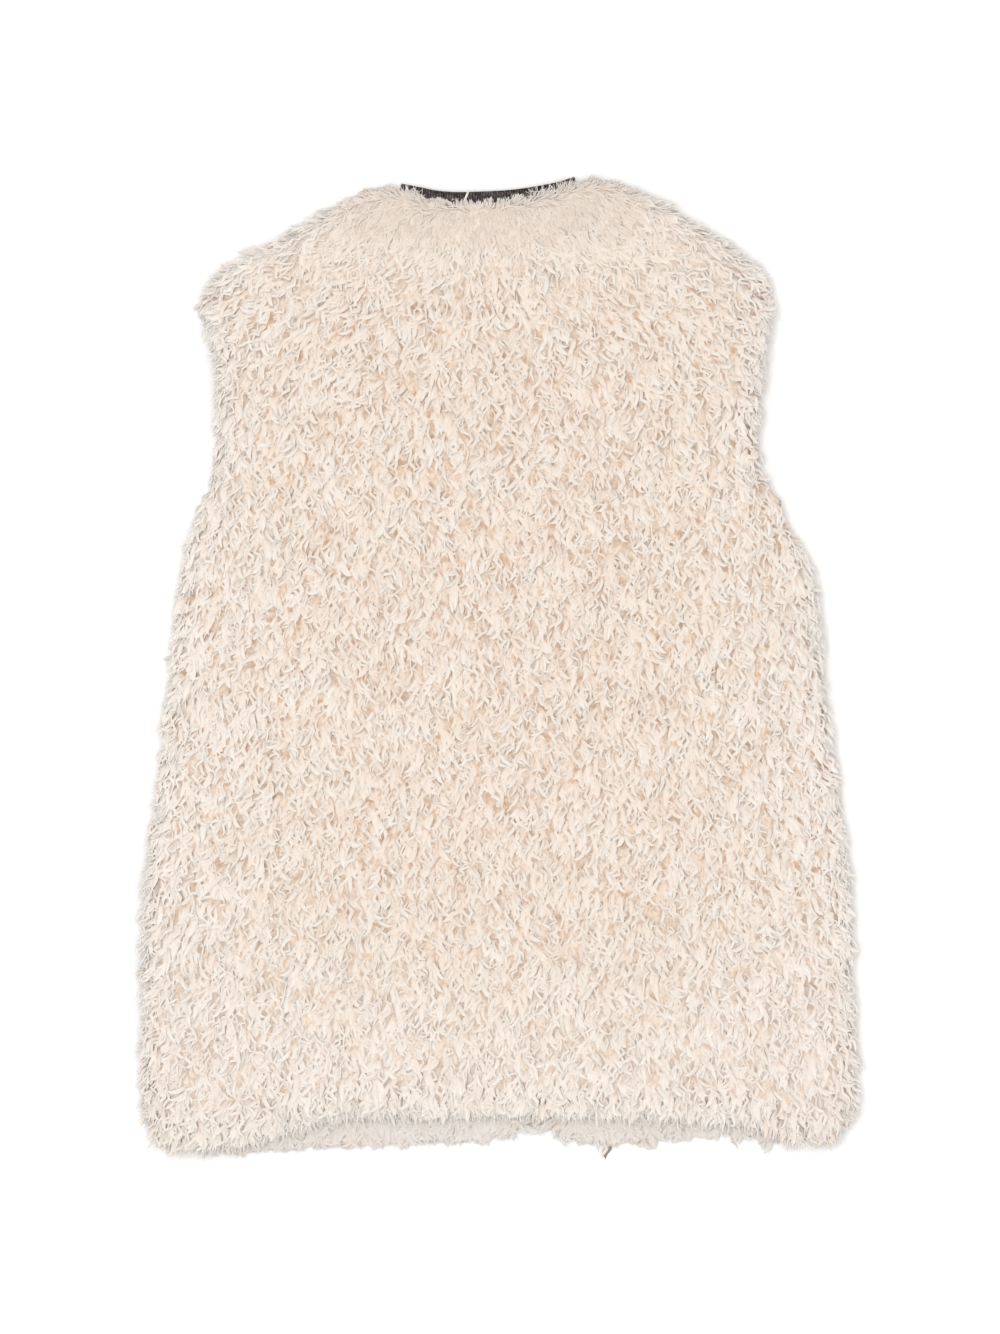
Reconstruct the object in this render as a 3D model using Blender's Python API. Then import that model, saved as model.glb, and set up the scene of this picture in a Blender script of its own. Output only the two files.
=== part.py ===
"""Faux fur vest, laid flat on its two fronts with its back up.

The frame: +X is to the right and +Y towards the neck as the back is looked down on, +Z is up
from the surface that the vest lies on. The origin is the middle of the vest's box, on that surface.
Every length is in metres. Heights in the tables count up the garment, from the line of its lowest
hem, and the middle line runs down its back.

The fronts lie underneath with their pile pressed flat. The back lies on them with its pile
standing, and its hem ends a little above theirs, so that both fronts and the opening between
them show below it. A tape is sewn inside the back of the neck and shows above the fur.
"""

import math
import random

import bmesh
import bpy
import numpy as np

# Thicknesses, from the surface up
PRESSED_PILE = 0.0117
CLOTH = 0.002
STANDING_PILE = 0.022
SEAM_GAP = 0.0003

# Locks of the pile, as they are raised in the solids
LOCK_PITCH = 0.0205
LOCK_RISE = 0.0052
EDGE_LOCK_RISE = 0.0031
LOCK_LEAN = 0.0056
LOCK_UNEVEN = 0.0014
EDGE_NOTCH = 0.0034
EDGE_ROUNDING = 0.030
EDGE_LIFT = 0.40

# How the pile is combed: sideways for each step down, at the widest line and at a shoulder's end
SIDE_SPREAD = 0.35
HALF_WIDTH = 0.26
SHOULDER_SPREAD = 1.5
HALF_SHOULDER = 0.22
SHOULDER_LOW = 0.52
SHOULDER_HIGH = 0.68

# How far a wall's flat underside keeps inside its widest line
UNDERSIDE_INSET = 0.005
FRONT_UNDERSIDE_INSET = 0.007
FRONT_LOCK_INSET = 0.008
FRONT_LOCK_DROP = 0.0035
FRONT_CLOTH_INSET = 0.017

# The neck tape
TAPE_SHOWS = 0.0070
TAPE_HIDDEN = 0.010
TAPE_THICKNESS = 0.0015
TAPE_ROLL_RADIUS = 0.0013
TAPE_ROLL_SIDES = 7
TAPE_SECTIONS = 26

# How much of the tape shows from its left end to its right: place along it, share of its widest
TAPE_SHARES = ((0.0, 0.62), (0.12, 1.0), (0.45, 1.0), (1.0, 0.55))

# How far the fronts show past the back at each armhole
FRONT_PEEK_LEFT = 0.004
FRONT_PEEK_RIGHT = 0.002

# Where a front's shoulder starts, from the middle line
FRONT_NECK_POINT = 0.095

RANDOM_SEED = 7
CURVE_STEPS = 24
OUTLINE_STEPS = 2000

# Side edges, hem to shoulder: place, height, reach to the left, reach to the right
SIDE_ROWS = (
    ("hem corner", 0.010, 0.2580, 0.2520),
    ("above the corner", 0.034, 0.2660, 0.2680),
    ("hem side", 0.075, 0.2700, 0.2710),
    ("low skirt", 0.188, 0.2685, 0.2665),
    ("high skirt", 0.262, 0.2600, 0.2590),
    ("waist", 0.352, 0.2500, 0.2480),
    ("ribs", 0.434, 0.2400, 0.2380),
    ("underarm", 0.475, 0.2290, 0.2170),
    ("foot of the armhole", 0.500, 0.2180, 0.2010),
    ("armhole", 0.542, 0.2130, 0.1960),
    ("high armhole", 0.596, 0.2150, 0.2020),
    ("shoulder point", 0.634, 0.2250, 0.2060),
)
ARMHOLE_FOOT = 0.475

# Hem of the back, left corner to right corner: place across, height
BACK_HEM_ROWS = (
    (-0.258, 0.010),
    (-0.244, 0.002),
    (-0.205, 0.003),
    (-0.171, 0.011),
    (-0.140, 0.021),
    (-0.095, 0.026),
    (0.040, 0.026),
    (0.150, 0.023),
    (0.190, 0.018),
    (0.214, 0.009),
    (0.238, 0.004),
    (0.252, 0.010),
)

# Shoulders and neck, left shoulder point to right: place, place across, height
TOP_ROWS = (
    ("left shoulder point", -0.2250, 0.6340),
    ("left shoulder turn", -0.2160, 0.6540),
    ("left shoulder", -0.1920, 0.6735),
    ("left shoulder", -0.1500, 0.6950),
    ("left shoulder", -0.1120, 0.7165),
    ("left shoulder top", -0.0920, 0.7245),
    ("left neck point", -0.0740, 0.7235),
    ("neck", -0.0520, 0.7163),
    ("neck middle", -0.0250, 0.7143),
    ("neck", 0.0100, 0.7170),
    ("neck", 0.0400, 0.7230),
    ("right neck point", 0.0590, 0.7290),
    ("right shoulder top", 0.0760, 0.7320),
    ("right shoulder", 0.1050, 0.7215),
    ("right shoulder", 0.1450, 0.6995),
    ("right shoulder", 0.1810, 0.6765),
    ("right shoulder turn", 0.2000, 0.6580),
    ("right shoulder point", 0.2060, 0.6340),
)

# Fronts, from the side's hem corner to the opening and up to the neck: place across, height
LEFT_FRONT_HEM = (
    (-0.254, 0.006),
    (-0.236, -0.001),
    (-0.200, -0.0015),
    (-0.150, 0.001),
    (-0.090, 0.004),
    (-0.040, 0.006),
    (-0.006, 0.007),
    (0.010, 0.016),
)
RIGHT_FRONT_HEM = (
    (0.248, 0.007),
    (0.232, 0.001),
    (0.205, 0.002),
    (0.172, 0.006),
    (0.148, 0.0055),
    (0.112, 0.001),
    (0.080, -0.001),
    (0.058, 0.003),
    (0.043, 0.016),
)
LEFT_OPENING_EDGE = (
    (0.013, 0.040),
    (0.009, 0.150),
    (0.000, 0.350),
    (-0.009, 0.470),
    (-0.018, 0.520),
    (-0.042, 0.600),
    (-0.070, 0.670),
    (-0.085, 0.700),
)
RIGHT_OPENING_EDGE = (
    (0.040, 0.040),
    (0.033, 0.150),
    (0.015, 0.350),
    (0.004, 0.470),
    (0.013, 0.520),
    (0.036, 0.600),
    (0.060, 0.672),
    (0.073, 0.704),
)

# Colours of the finishes, linear red, green and blue
FUR_COLOUR = (0.84, 0.72, 0.61)
SHADED_FUR_COLOUR = (0.76, 0.67, 0.59)
TAPE_COLOUR = (0.045, 0.036, 0.034)

FRONT_TOP = PRESSED_PILE + CLOTH
BACK_BASE = FRONT_TOP + SEAM_GAP


def clear_scene():
    """Removes whatever the scene holds before the vest is made."""
    for thing in list(bpy.data.objects):
        bpy.data.objects.remove(thing)


def fabric_material(name, colour, roughness):
    """A plain cloth finish."""
    material = bpy.data.materials.new(name)
    material.use_nodes = True
    shader = material.node_tree.nodes["Principled BSDF"]
    shader.inputs["Base Color"].default_value = (*colour, 1.0)
    shader.inputs["Roughness"].default_value = roughness
    shader.inputs["Metallic"].default_value = 0.0
    return material


def evenly_along(line, count, closed=False):
    """count points, evenly spaced along a line of points that lie close together."""
    ends = np.vstack([line, line[:1]]) if closed else line
    steps = np.linalg.norm(np.diff(ends, axis=0), axis=1)
    along = np.concatenate([[0.0], np.cumsum(steps)])
    at = np.linspace(0.0, along[-1], count + 1 if closed else count)
    if closed:
        at = at[:-1]
    return np.column_stack([np.interp(at, along, ends[:, axis]) for axis in range(2)])


def smooth_curve(rows, count, closed=False):
    """count points, evenly spaced along a smooth curve that passes through every row."""
    points = np.array(rows, float)
    if closed:
        padded = np.vstack([points[-1:], points, points[:2]])
    else:
        first = 2 * points[0] - points[1]
        last = 2 * points[-1] - points[-2]
        padded = np.vstack([first, points, last])
    share = np.linspace(0.0, 1.0, CURVE_STEPS, endpoint=False)[:, None]
    spans = []
    for before, start, end, after in zip(padded, padded[1:], padded[2:], padded[3:]):
        linear = (end - before) * share
        square = (2 * before - 5 * start + 4 * end - after) * share**2
        cube = (3 * start - before - 3 * end + after) * share**3
        spans.append(start + 0.5 * (linear + square + cube))
    line = np.vstack(spans)
    if not closed:
        line = np.vstack([line, points[-1:]])
    return evenly_along(line, count, closed)


def outward(ring):
    """The direction that points out of a ring which runs anticlockwise, at each of its points."""
    along = np.roll(ring, -1, axis=0) - np.roll(ring, 1, axis=0)
    normal = np.column_stack([along[:, 1], -along[:, 0]])
    return normal / np.linalg.norm(normal, axis=1)[:, None]


def distance_to(ring, points):
    """How far each point lies from a closed ring."""
    starts = ring
    spans = np.roll(ring, -1, axis=0) - ring
    lengths = (spans**2).sum(1)
    nearest = np.full(len(points), np.inf)
    for start, span, length in zip(starts, spans, lengths):
        share = np.clip(((points - start) @ span) / length, 0.0, 1.0)
        gap = np.linalg.norm(points - start - share[:, None] * span, axis=1)
        nearest = np.minimum(nearest, gap)
    return nearest


def combing(point):
    """The way in which the pile is combed: down the back, and outwards over the shoulders."""
    across, height = point
    shoulder = np.clip((height - SHOULDER_LOW) / (SHOULDER_HIGH - SHOULDER_LOW), 0.0, 1.0)
    spread = SIDE_SPREAD * (across / HALF_WIDTH) ** 3
    spread += SHOULDER_SPREAD * shoulder * (across / HALF_SHOULDER)
    way = np.array([spread, -1.0])
    return way / np.linalg.norm(way)


def patch_between(hem, top, left, right):
    """A grid of points that joins four edges, a row for each point of the two side edges."""
    across = np.linspace(0.0, 1.0, len(hem))[None, :, None]
    upward = np.linspace(0.0, 1.0, len(left))[:, None, None]
    rows = (1 - upward) * hem[None] + upward * top[None]
    columns = (1 - across) * left[:, None] + across * right[:, None]
    low = (1 - across) * hem[0] + across * hem[-1]
    high = (1 - across) * top[0] + across * top[-1]
    return rows + columns - (1 - upward) * low - upward * high


def finish_object(name, mesh_data, material):
    """Turns a bmesh into the named piece, faces out and with one material."""
    bmesh.ops.recalc_face_normals(mesh_data, faces=mesh_data.faces)
    mesh = bpy.data.meshes.new(name)
    mesh_data.to_mesh(mesh)
    mesh_data.free()
    mesh.materials.append(material)
    piece = bpy.data.objects.new(name, mesh)
    bpy.context.scene.collection.objects.link(piece)
    return piece


def add_ring(mesh_data, ring, height):
    """New points round a ring. height is one number, or one for each point."""
    heights = np.broadcast_to(height, (len(ring),))
    return [mesh_data.verts.new((x, y, z)) for (x, y), z in zip(ring, heights)]


def join_rings(mesh_data, lower, upper):
    """A band of faces between two rings with equally many points."""
    count = len(lower)
    for i in range(count):
        j = (i + 1) % count
        mesh_data.faces.new((lower[i], lower[j], upper[j], upper[i]))


def back_rim(rows, columns):
    """Grid places round the edge of the back, anticlockwise from the left hem corner."""
    rim = [(0, column) for column in range(columns)]
    rim += [(row, columns - 1) for row in range(1, rows)]
    rim += [(rows - 1, column) for column in range(columns - 2, -1, -1)]
    rim += [(row, 0) for row in range(rows - 2, 0, -1)]
    return rim


def make_back(material):
    """The back: one piece of fur cloth, its pile raised in rows of locks that lean to the hem."""
    left_rows = [(-left, height) for _, height, left, _ in SIDE_ROWS]
    right_rows = [(right, height) for _, height, _, right in SIDE_ROWS]
    top_rows = [(across, height) for _, across, height in TOP_ROWS]
    widest = max(left + right for _, _, left, right in SIDE_ROWS)
    tallest = TOP_ROWS[0][2]
    columns = 2 * round(widest / LOCK_PITCH) + 1
    rows = 2 * round(tallest / LOCK_PITCH) + 1

    hem = smooth_curve(BACK_HEM_ROWS, columns)
    top = smooth_curve(top_rows, columns)
    left = smooth_curve(left_rows, rows)
    right = smooth_curve(right_rows, rows)
    grid = patch_between(hem, top, left, right)

    rim = back_rim(rows, columns)
    outline = np.array([grid[place] for place in rim])
    out_of = dict(zip(rim, outward(outline)))
    inside = distance_to(outline, grid.reshape(-1, 2)).reshape(rows, columns)

    chance = random.Random(RANDOM_SEED)
    mesh_data = bmesh.new()
    points = {}
    for row in range(rows):
        for column in range(columns):
            x, y = grid[row, column]
            tip = row % 2 == 1 and (column + row // 2) % 2 == 0
            uneven = chance.uniform(-LOCK_UNEVEN, LOCK_UNEVEN)
            if (row, column) in out_of:
                notch = 0.0 if (row + column) % 2 == 0 else EDGE_NOTCH
                x, y = grid[row, column] - out_of[row, column] * notch
                z = BACK_BASE + (CLOTH + STANDING_PILE) * EDGE_LIFT
            else:
                share = min(inside[row, column] / EDGE_ROUNDING, 1.0)
                dome = EDGE_LIFT + (1 - EDGE_LIFT) * math.sqrt(1 - (1 - share) ** 2)
                z = BACK_BASE + (CLOTH + STANDING_PILE) * dome - LOCK_RISE / 2 + uneven
                if tip:
                    lean = combing((x, y)) * LOCK_LEAN * share
                    x, y = x + lean[0], y + lean[1]
                    z += EDGE_LOCK_RISE + (LOCK_RISE - EDGE_LOCK_RISE) * share
            points[row, column] = mesh_data.verts.new((x, y, z))

    for row in range(rows - 1):
        for column in range(columns - 1):
            corners = ((row, column), (row, column + 1), (row + 1, column + 1), (row + 1, column))
            mesh_data.faces.new([points[place] for place in corners])

    widest_ring = [points[place] for place in rim]
    underside = outline - outward(outline) * UNDERSIDE_INSET
    under_ring = add_ring(mesh_data, underside, BACK_BASE)
    join_rings(mesh_data, under_ring, widest_ring)
    mesh_data.faces.new(under_ring[::-1])
    return finish_object("back", mesh_data, material)


def front_outline(hem_rows, side, opening_rows):
    """A front's closed outline, anticlockwise, with locks half a pitch apart round it."""
    peek = FRONT_PEEK_LEFT if side < 0 else FRONT_PEEK_RIGHT
    side_points = []
    for _, height, left, right in SIDE_ROWS[1:]:
        reach = left if side < 0 else right
        extra = peek if height >= ARMHOLE_FOOT else 0.0
        side_points.append((side * (reach + extra), height))
    shoulder_point = side_points[-1][1]
    shoulder = [(x, y) for _, x, y in TOP_ROWS if x * side > FRONT_NECK_POINT and y > shoulder_point]
    if side < 0:
        shoulder = shoulder[::-1]
    loop = list(hem_rows) + list(opening_rows) + shoulder + side_points[::-1]
    if side > 0:
        loop = loop[::-1]
    fine = smooth_curve(loop, OUTLINE_STEPS, closed=True)
    around = np.linalg.norm(fine - np.roll(fine, 1, axis=0), axis=1).sum()
    return evenly_along(fine, 2 * round(around / LOCK_PITCH), closed=True)


def make_front(name, hem_rows, side, opening_rows, material):
    """A front, face down: its pile is pressed flat below, and its locks show round its edge."""
    outline = front_outline(hem_rows, side, opening_rows)
    out = outward(outline)
    odd = (np.arange(len(outline)) % 2 == 1)[:, None]
    widest = outline - out * np.where(odd, EDGE_NOTCH, 0.0)
    second = outline - out * np.where(odd, FRONT_LOCK_INSET - EDGE_NOTCH, FRONT_LOCK_INSET)

    mesh_data = bmesh.new()
    rings = (
        add_ring(mesh_data, outline - out * FRONT_UNDERSIDE_INSET, 0.0),
        add_ring(mesh_data, widest, FRONT_TOP * EDGE_LIFT),
        add_ring(mesh_data, second, FRONT_TOP - FRONT_LOCK_DROP),
        add_ring(mesh_data, outline - out * FRONT_CLOTH_INSET, FRONT_TOP),
    )
    for lower, upper in zip(rings, rings[1:]):
        join_rings(mesh_data, lower, upper)
    mesh_data.faces.new(rings[0][::-1])
    mesh_data.faces.new(rings[-1])
    return finish_object(name, mesh_data, material)


def tape_profile(shows):
    """The tape's section, as (out from the fur's edge, down from its top face), rolled at its edge."""
    roll_out = shows - TAPE_ROLL_RADIUS
    roll_down = TAPE_THICKNESS / 2
    opened = math.asin(roll_down / TAPE_ROLL_RADIUS)
    start, end = math.pi - opened, opened - math.pi
    profile = [(-TAPE_HIDDEN, TAPE_THICKNESS), (-TAPE_HIDDEN, 0.0)]
    for i in range(TAPE_ROLL_SIDES):
        angle = start + (end - start) * i / (TAPE_ROLL_SIDES - 1)
        across = roll_out + TAPE_ROLL_RADIUS * math.cos(angle)
        down = roll_down - TAPE_ROLL_RADIUS * math.sin(angle)
        profile.append((across, down))
    return profile


def make_neck_tape(material):
    """The tape inside the back of the neck, from one neck point to the other."""
    names = [name for name, _, _ in TOP_ROWS]
    first, last = names.index("left neck point"), names.index("right neck point")
    neck_rows = [(x, y) for _, x, y in TOP_ROWS[first : last + 1]]
    line = smooth_curve(neck_rows, TAPE_SECTIONS)
    along = np.gradient(line, axis=0)
    out = np.column_stack([-along[:, 1], along[:, 0]])
    out /= np.linalg.norm(out, axis=1)[:, None]

    top = BACK_BASE - SEAM_GAP
    mesh_data = bmesh.new()
    sections = []
    shares = np.interp(np.linspace(0.0, 1.0, TAPE_SECTIONS), *zip(*TAPE_SHARES))
    for point, way, share in zip(line, out, shares):
        section = []
        for across, down in tape_profile(TAPE_SHOWS * share):
            x, y = point + way * across
            section.append(mesh_data.verts.new((x, y, top - down)))
        sections.append(section)
    for before, after in zip(sections, sections[1:]):
        join_rings(mesh_data, before, after)
    mesh_data.faces.new(sections[0])
    mesh_data.faces.new(sections[-1][::-1])
    return finish_object("neck_tape", mesh_data, material)


def centre_on_box(pieces):
    """Moves every point so that the middle of the vest's box, on the surface, is the origin."""
    corners = np.array([point.co for piece in pieces for point in piece.data.vertices])
    low, high = corners.min(0), corners.max(0)
    middle = (low + high) / 2
    for piece in pieces:
        for point in piece.data.vertices:
            point.co.x -= middle[0]
            point.co.y -= middle[1]
            point.co.z -= low[2]


def main():
    clear_scene()
    fur = fabric_material("cream_fur", FUR_COLOUR, 0.9)
    front_fur = fabric_material("cream_fur_shaded", SHADED_FUR_COLOUR, 0.9)
    ribbed_tape = fabric_material("dark_ribbed_tape", TAPE_COLOUR, 0.6)
    pieces = (
        make_back(fur),
        make_front("left_front", LEFT_FRONT_HEM, -1, LEFT_OPENING_EDGE, front_fur),
        make_front("right_front", RIGHT_FRONT_HEM, 1, RIGHT_OPENING_EDGE, front_fur),
        make_neck_tape(ribbed_tape),
    )
    centre_on_box(pieces)


main()
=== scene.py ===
# %% [markdown]
# A vest of long, curly faux fur lies on a table with its back up. The solids give its panels their
# true outline and height. Here each panel gets what the real one is made of: a backing cloth, a
# dense underfur, and thousands of curls that are combed down the back and hang over its edges.

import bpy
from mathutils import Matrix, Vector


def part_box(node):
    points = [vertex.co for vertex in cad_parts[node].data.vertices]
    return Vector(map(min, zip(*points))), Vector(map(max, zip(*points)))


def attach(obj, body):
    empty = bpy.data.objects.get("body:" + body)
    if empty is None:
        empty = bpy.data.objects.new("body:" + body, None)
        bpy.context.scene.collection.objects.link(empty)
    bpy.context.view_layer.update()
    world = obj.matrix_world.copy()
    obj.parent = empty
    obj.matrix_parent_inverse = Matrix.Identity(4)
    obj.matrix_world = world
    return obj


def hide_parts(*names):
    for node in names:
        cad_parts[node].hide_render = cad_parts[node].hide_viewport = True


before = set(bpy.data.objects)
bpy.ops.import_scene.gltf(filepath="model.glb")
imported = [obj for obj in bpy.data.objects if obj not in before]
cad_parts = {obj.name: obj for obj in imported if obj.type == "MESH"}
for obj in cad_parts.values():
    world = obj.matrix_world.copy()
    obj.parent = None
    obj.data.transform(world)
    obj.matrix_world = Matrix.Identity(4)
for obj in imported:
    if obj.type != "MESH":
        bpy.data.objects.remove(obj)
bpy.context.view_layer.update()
print("solids:", sorted(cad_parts))

# %% [markdown]
# Everything below is in metres, and MM keeps small sizes readable. The chance that scatters the
# fur comes from numbered seeds, so each run grows the same vest.

# %% Modules and units
import math

import bmesh
import bpy
import numpy as np
from mathutils import Vector
from mathutils.bvhtree import BVHTree
from mathutils.kdtree import KDTree

MM = 0.001
SAME_PLACE = 0.01 * MM
CLEARANCE = 0.3 * MM
SIDES = ("left_front", "right_front")
back_low, back_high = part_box("back")
front_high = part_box("left_front")[1]
print("the back lies at", round(back_low.z / MM, 1), "mm, up to", round(back_high.z / MM, 1), "mm")

# %% [markdown]
# The camera looks straight down from well above, as over a table in a studio, so that the sides
# of the fur don't show. A long lens keeps the outline true.

# %% Camera
VIEW_HEIGHT = 1.0005
LENS = 85.0
SENSOR = 36.0
FUR_LEVEL = 0.025
VIEW_MIDDLE = (1.1 * MM, -2.2 * MM)
camera_distance = VIEW_HEIGHT * LENS / SENSOR
camera_place = (*VIEW_MIDDLE, FUR_LEVEL + camera_distance)
bpy.ops.object.camera_add(location=camera_place, rotation=(0, 0, 0))
camera = bpy.context.object
camera.data.lens = LENS
camera.data.clip_end = 20
bpy.context.scene.camera = camera
print("the camera is", round(camera_distance, 3), "m above the fur")

# %% [markdown]
# One wide soft panel hangs overhead, a smaller one stands beyond the neck and shades the lower
# side of the hem, a weak one fills that shade, and the room is bright. Fur looks soft when light
# comes from nearly everywhere.

# %% Lights, room and floor
# Name, place, side in metres and power in watts
LAMPS = (
    ("overhead_panel", (-0.15, 0.0, 2.7), 1.0, 54.5),
    ("window_panel", (-0.4, 1.8, 1.5), 1.2, 6.0),
    ("fill_panel", (0.4, -1.8, 1.2), 1.2, 6.5),
)
ROOM_COLOUR = (1.0, 0.965, 0.93, 1.0)
ROOM_LIGHT = 0.42
FLOOR_SIZE = 12


def add_lamp(name, place, size, power):
    """A square lamp that faces the middle of the vest."""
    bpy.ops.object.light_add(type="AREA", location=place)
    lamp = bpy.context.object
    lamp.name = name
    lamp.data.size = size
    lamp.data.energy = power
    lamp.rotation_euler = (-Vector(place)).to_track_quat("-Z", "Y").to_euler()


for name, place, size, power in LAMPS:
    add_lamp(name, place, size, power)

room = bpy.data.worlds.new("bright_room")
bpy.context.scene.world = room
room.use_nodes = True
background = room.node_tree.nodes["Background"]
background.inputs["Color"].default_value = ROOM_COLOUR
background.inputs["Strength"].default_value = ROOM_LIGHT

bpy.ops.mesh.primitive_plane_add(size=FLOOR_SIZE)
floor = bpy.context.object
floor.name = "floor"

bpy.context.scene.view_settings.view_transform = "Standard"
bpy.context.scene.view_settings.look = "None"
print("the lights and the floor are in place")

# %% [markdown]
# Helpers for modelling by hand in code. An operator acts on all that is selected, so each step
# starts by selecting one piece alone.

# %% Helpers
EDGE_STEP = 10 * MM


def select_only(piece):
    """Deselects everything else and makes the piece active."""
    bpy.ops.object.select_all(action="DESELECT")
    piece.select_set(True)
    bpy.context.view_layer.objects.active = piece


def select_faces(piece, wanted):
    """Selects the faces of the piece in edit mode for which wanted(face) is true."""
    bpy.ops.mesh.select_mode(type="FACE")
    bpy.ops.mesh.select_all(action="DESELECT")
    edited = bmesh.from_edit_mesh(piece.data)
    for face in edited.faces:
        face.select_set(bool(wanted(face)))
    bmesh.update_edit_mesh(piece.data)


def apply_modifier(piece, kind, **settings):
    """Adds a modifier, sets it up and applies it."""
    select_only(piece)
    modifier = piece.modifiers.new(kind.lower(), kind)
    for name, value in settings.items():
        setattr(modifier, name, value)
    bpy.ops.object.modifier_apply(modifier=modifier.name)


def copy_solid(node, name):
    """A copy of a solid whose loose triangles are merged into one skin."""
    piece = bpy.data.objects.new(name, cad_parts[node].data.copy())
    bpy.context.scene.collection.objects.link(piece)
    select_only(piece)
    bpy.ops.object.mode_set(mode="EDIT")
    bpy.ops.mesh.select_all(action="SELECT")
    bpy.ops.mesh.remove_doubles(threshold=SAME_PLACE)
    bpy.ops.object.mode_set(mode="OBJECT")
    return piece


def points_of(piece):
    """The places of a piece's points, a row for each."""
    places = np.empty(len(piece.data.vertices) * 3)
    piece.data.vertices.foreach_get("co", places)
    return places.reshape(-1, 3)


def move_points(piece, places):
    """Puts a piece's points in new places."""
    piece.data.vertices.foreach_set("co", places.ravel())
    piece.data.update()


def edge_height(piece, across, pick):
    """The height of a piece's lowest or highest edge, picked by min or max, at places across it."""
    points = points_of(piece)
    steps = np.round(points[:, 0] / EDGE_STEP).astype(int)
    found = sorted(set(steps))
    heights = [pick(points[steps == step, 1]) for step in found]
    return np.interp(across, np.array(found) * EDGE_STEP, heights)


def finish_piece(piece, material, slot, *nodes):
    """Gives a piece its finish and its place in the frame."""
    piece.data.polygons.foreach_set("use_smooth", np.ones(len(piece.data.polygons), bool))
    piece.data.materials.clear()
    piece.data.materials.append(material)
    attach(piece, "root")
    if nodes:
        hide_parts(*nodes)
    triangles = sum(len(face.vertices) - 2 for face in piece.data.polygons)
    print(piece.name, "has", triangles, "triangles")
    return piece


# %% [markdown]
# Every material starts in the same way: a principled shader whose plain values are set on the
# shader itself, with patterns linked only where the surface changes from place to place.

# %% Material helpers
def new_material(name, roughness, sheen):
    """A material, with its node tree and its shader."""
    material = bpy.data.materials.new(name)
    material.use_nodes = True
    shader = material.node_tree.nodes["Principled BSDF"]
    shader.inputs["Roughness"].default_value = roughness
    shader.inputs["Metallic"].default_value = 0.0
    shader.inputs["Sheen Weight"].default_value = sheen
    shader.inputs["Sheen Roughness"].default_value = 0.5
    return material, material.node_tree, shader


def colour_ramp(tree, stops):
    """A colour ramp through the given stops, each a place and a colour."""
    ramp = tree.nodes.new("ShaderNodeValToRGB")
    elements = ramp.color_ramp.elements
    while len(elements) < len(stops):
        elements.new(0.5)
    for element, (place, colour) in zip(elements, stops):
        element.position = place
        element.color = (*colour, 1.0)
    return ramp


def noise(tree, scale, detail=2.0, roughness=0.5):
    """A noise texture."""
    texture = tree.nodes.new("ShaderNodeTexNoise")
    texture.inputs["Scale"].default_value = scale
    texture.inputs["Detail"].default_value = detail
    texture.inputs["Roughness"].default_value = roughness
    return texture


def rib_waves(tree, scale, distortion):
    """Straight ribs that run a little unevenly."""
    texture = tree.nodes.new("ShaderNodeTexWave")
    texture.inputs["Scale"].default_value = scale
    texture.inputs["Distortion"].default_value = distortion
    return texture


def lay_out(tree, *textures):
    """Lays textures out in a piece's own coordinates, and gives these back."""
    place = tree.nodes.new("ShaderNodeTexCoord")
    for texture in textures:
        tree.links.new(place.outputs["Object"], texture.inputs["Vector"])
    return place


def bump(tree, shader, height, strength, depth):
    """Links a height to the shader's normal."""
    node = tree.nodes.new("ShaderNodeBump")
    node.inputs["Strength"].default_value = strength
    node.inputs["Distance"].default_value = depth
    tree.links.new(height, node.inputs["Height"])
    tree.links.new(node.outputs["Normal"], shader.inputs["Normal"])


def multiply_colours(tree, first, second):
    """The product of two colours."""
    node = tree.nodes.new("ShaderNodeMix")
    node.data_type = "RGBA"
    node.blend_type = "MULTIPLY"
    node.inputs["Factor"].default_value = 1.0
    tree.links.new(first, node.inputs["A"])
    tree.links.new(second, node.inputs["B"])
    return node.outputs["Result"]


# %% [markdown]
# Each curl is a bundle of fine hairs. Two things show from a step away: lines that run along the curl, and a
# change of tone from lock to lock, which also carries painted shade and painted light. A node group makes
# both, once for every fur, from an attribute that each curl carries: how far across it, how far along it,
# and its tone, partly its own chance and partly painted shade and light.

# %% Hair lines, a shared node group
# How often the lines change across a curl, along it and from curl to curl
LINE_STRETCH = (2.6, 1.2, 90.0)


def make_hair_group():
    """Turns a curl's own coordinates into hair lines, a place along it and a tone."""
    group = bpy.data.node_groups.new("hair lines", "ShaderNodeTree")
    group.interface.new_socket("Strand", in_out="INPUT", socket_type="NodeSocketVector")
    for name in ("Lines", "Along", "Tone"):
        group.interface.new_socket(name, in_out="OUTPUT", socket_type="NodeSocketFloat")
    given = group.nodes.new("NodeGroupInput")
    result = group.nodes.new("NodeGroupOutput")
    stretch = group.nodes.new("ShaderNodeVectorMath")
    stretch.operation = "MULTIPLY"
    stretch.inputs[1].default_value = LINE_STRETCH
    lines = noise(group, 1.0, 2.0, 0.6)
    split = group.nodes.new("ShaderNodeSeparateXYZ")
    group.links.new(given.outputs["Strand"], stretch.inputs[0])
    group.links.new(stretch.outputs[0], lines.inputs["Vector"])
    group.links.new(given.outputs["Strand"], split.inputs[0])
    group.links.new(lines.outputs["Fac"], result.inputs["Lines"])
    group.links.new(split.outputs["Y"], result.inputs["Along"])
    group.links.new(split.outputs["Z"], result.inputs["Tone"])
    return group


hair_lines = make_hair_group()
print("made the node group", hair_lines.name)
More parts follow.
